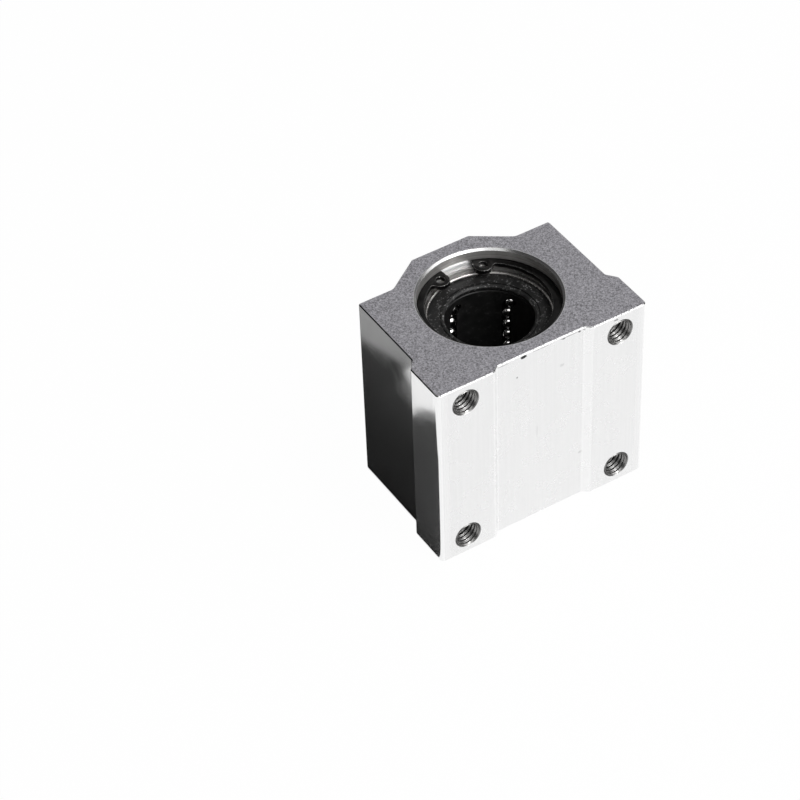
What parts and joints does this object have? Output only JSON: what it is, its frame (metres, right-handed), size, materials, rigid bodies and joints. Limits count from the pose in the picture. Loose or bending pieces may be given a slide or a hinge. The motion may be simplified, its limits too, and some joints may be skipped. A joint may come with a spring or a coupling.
{
  "type": "linear bearing block",
  "caption": "Extruded aluminium pillow block with a sealed recirculating ball bushing for a round shaft, bolted down through or into its flanged base.",
  "frame": {"origin": "on the bore axis, half way along the block", "axes": "+Z along the bore axis, -Y out of the mounting face, +Y out of the crown, X across the block"},
  "size_m": [0.054, 0.041, 0.05],
  "materials": {
    "anodised_housing": "clear anodised, fine blasted grain",
    "spring_steel": "black phosphated, oiled",
    "bearing_steel": "ground",
    "stop_ring_steel": "bright spring steel",
    "cage_plastic": "moulded black nylon",
    "seal_rubber": "moulded black nitrile",
    "ball_steel": "polished bearing balls"
  },
  "bodies": {
    "block": {"housing_block": "anodised_housing", "upper_retaining_ring": "spring_steel", "lower_retaining_ring": "spring_steel", "bearing_sleeve": "bearing_steel", "ball_cage": "cage_plastic", "upper_seal": "seal_rubber", "lower_seal": "seal_rubber", "upper_stop_ring": "stop_ring_steel", "lower_stop_ring": "stop_ring_steel"},
    "loaded_row_1": {"loaded_balls_1": "ball_steel"},
    "return_row_1": {"return_balls_1": "ball_steel"},
    "upper_turn_1": {"upper_turn_balls_1": "ball_steel"},
    "lower_turn_1": {"lower_turn_balls_1": "ball_steel"},
    "loaded_row_2": {"loaded_balls_2": "ball_steel"},
    "return_row_2": {"return_balls_2": "ball_steel"},
    "upper_turn_2": {"upper_turn_balls_2": "ball_steel"},
    "lower_turn_2": {"lower_turn_balls_2": "ball_steel"},
    "loaded_row_3": {"loaded_balls_3": "ball_steel"},
    "return_row_3": {"return_balls_3": "ball_steel"},
    "upper_turn_3": {"upper_turn_balls_3": "ball_steel"},
    "lower_turn_3": {"lower_turn_balls_3": "ball_steel"},
    "loaded_row_4": {"loaded_balls_4": "ball_steel"},
    "return_row_4": {"return_balls_4": "ball_steel"},
    "upper_turn_4": {"upper_turn_balls_4": "ball_steel"},
    "lower_turn_4": {"lower_turn_balls_4": "ball_steel"},
    "loaded_row_5": {"loaded_balls_5": "ball_steel"},
    "return_row_5": {"return_balls_5": "ball_steel"},
    "upper_turn_5": {"upper_turn_balls_5": "ball_steel"},
    "lower_turn_5": {"lower_turn_balls_5": "ball_steel"}
  },
  "joints": [
    {"name": "loaded_row_1_roll", "type": "slide", "parent": "block", "child": "loaded_row_1", "axis": [0, 0, 1], "range_m": [-0.00162, 0.00162]},
    {"name": "return_row_1_roll", "type": "slide", "parent": "block", "child": "return_row_1", "axis": [0, 0, 1], "range_m": [-0.00162, 0.00162]},
    {"name": "upper_turn_1_roll", "type": "hinge", "parent": "block", "child": "upper_turn_1", "pos_m": [0.01089, 0.0051, 0.01294], "axis": [0.7484, 0.6632, 0], "range_deg": [-45.01, 45.01]},
    {"name": "lower_turn_1_roll", "type": "hinge", "parent": "block", "child": "lower_turn_1", "pos_m": [0.01089, 0.0051, -0.01294], "axis": [0.7484, 0.6632, 0], "range_deg": [-45.01, 45.01]},
    {"name": "loaded_row_2_roll", "type": "slide", "parent": "block", "child": "loaded_row_2", "axis": [0, 0, 1], "range_m": [-0.00162, 0.00162]},
    {"name": "return_row_2_roll", "type": "slide", "parent": "block", "child": "return_row_2", "axis": [0, 0, 1], "range_m": [-0.00162, 0.00162]},
    {"name": "upper_turn_2_roll", "type": "hinge", "parent": "block", "child": "upper_turn_2", "pos_m": [-0.00148, 0.01193, 0.01294], "axis": [-0.3995, 0.9168, 0], "range_deg": [-45.01, 45.01]},
    {"name": "lower_turn_2_roll", "type": "hinge", "parent": "block", "child": "lower_turn_2", "pos_m": [-0.00148, 0.01193, -0.01294], "axis": [-0.3995, 0.9168, 0], "range_deg": [-45.01, 45.01]},
    {"name": "loaded_row_3_roll", "type": "slide", "parent": "block", "child": "loaded_row_3", "axis": [0, 0, 1], "range_m": [-0.00162, 0.00162]},
    {"name": "return_row_3_roll", "type": "slide", "parent": "block", "child": "return_row_3", "axis": [0, 0, 1], "range_m": [-0.00162, 0.00162]},
    {"name": "upper_turn_3_roll", "type": "hinge", "parent": "block", "child": "upper_turn_3", "pos_m": [-0.01181, 0.00228, 0.01294], "axis": [-0.9953, -0.0966, 0], "range_deg": [-45.01, 45.01]},
    {"name": "lower_turn_3_roll", "type": "hinge", "parent": "block", "child": "lower_turn_3", "pos_m": [-0.01181, 0.00228, -0.01294], "axis": [-0.9953, -0.0966, 0], "range_deg": [-45.01, 45.01]},
    {"name": "loaded_row_4_roll", "type": "slide", "parent": "block", "child": "loaded_row_4", "axis": [0, 0, 1], "range_m": [-0.00162, 0.00162]},
    {"name": "return_row_4_roll", "type": "slide", "parent": "block", "child": "return_row_4", "axis": [0, 0, 1], "range_m": [-0.00162, 0.00162]},
    {"name": "upper_turn_4_roll", "type": "hinge", "parent": "block", "child": "upper_turn_4", "pos_m": [-0.00581, -0.01053, 0.01294], "axis": [-0.2157, -0.9765, 0], "range_deg": [-45.01, 45.01]},
    {"name": "lower_turn_4_roll", "type": "hinge", "parent": "block", "child": "lower_turn_4", "pos_m": [-0.00581, -0.01053, -0.01294], "axis": [-0.2157, -0.9765, 0], "range_deg": [-45.01, 45.01]},
    {"name": "loaded_row_5_roll", "type": "slide", "parent": "block", "child": "loaded_row_5", "axis": [0, 0, 1], "range_m": [-0.00162, 0.00162]},
    {"name": "return_row_5_roll", "type": "slide", "parent": "block", "child": "return_row_5", "axis": [0, 0, 1], "range_m": [-0.00162, 0.00162]},
    {"name": "upper_turn_5_roll", "type": "hinge", "parent": "block", "child": "upper_turn_5", "pos_m": [0.00822, -0.00878, 0.01294], "axis": [0.862, -0.5069, 0], "range_deg": [-45.01, 45.01]},
    {"name": "lower_turn_5_roll", "type": "hinge", "parent": "block", "child": "lower_turn_5", "pos_m": [0.00822, -0.00878, -0.01294], "axis": [0.862, -0.5069, 0], "range_deg": [-45.01, 45.01]}
  ],
  "couplings": [
    {"joint": "upper_turn_1_roll", "follows": "loaded_row_1_roll", "rad_per_m": 485.56},
    {"joint": "lower_turn_1_roll", "follows": "loaded_row_1_roll", "rad_per_m": 485.56},
    {"joint": "return_row_1_roll", "follows": "loaded_row_1_roll", "ratio": -1},
    {"joint": "upper_turn_2_roll", "follows": "loaded_row_2_roll", "rad_per_m": 485.56},
    {"joint": "lower_turn_2_roll", "follows": "loaded_row_2_roll", "rad_per_m": 485.56},
    {"joint": "return_row_2_roll", "follows": "loaded_row_2_roll", "ratio": -1},
    {"joint": "upper_turn_3_roll", "follows": "loaded_row_3_roll", "rad_per_m": 485.56},
    {"joint": "lower_turn_3_roll", "follows": "loaded_row_3_roll", "rad_per_m": 485.56},
    {"joint": "return_row_3_roll", "follows": "loaded_row_3_roll", "ratio": -1},
    {"joint": "upper_turn_4_roll", "follows": "loaded_row_4_roll", "rad_per_m": 485.56},
    {"joint": "lower_turn_4_roll", "follows": "loaded_row_4_roll", "rad_per_m": 485.56},
    {"joint": "return_row_4_roll", "follows": "loaded_row_4_roll", "ratio": -1},
    {"joint": "upper_turn_5_roll", "follows": "loaded_row_5_roll", "rad_per_m": 485.56},
    {"joint": "lower_turn_5_roll", "follows": "loaded_row_5_roll", "rad_per_m": 485.56},
    {"joint": "return_row_5_roll", "follows": "loaded_row_5_roll", "ratio": -1}
  ]
}
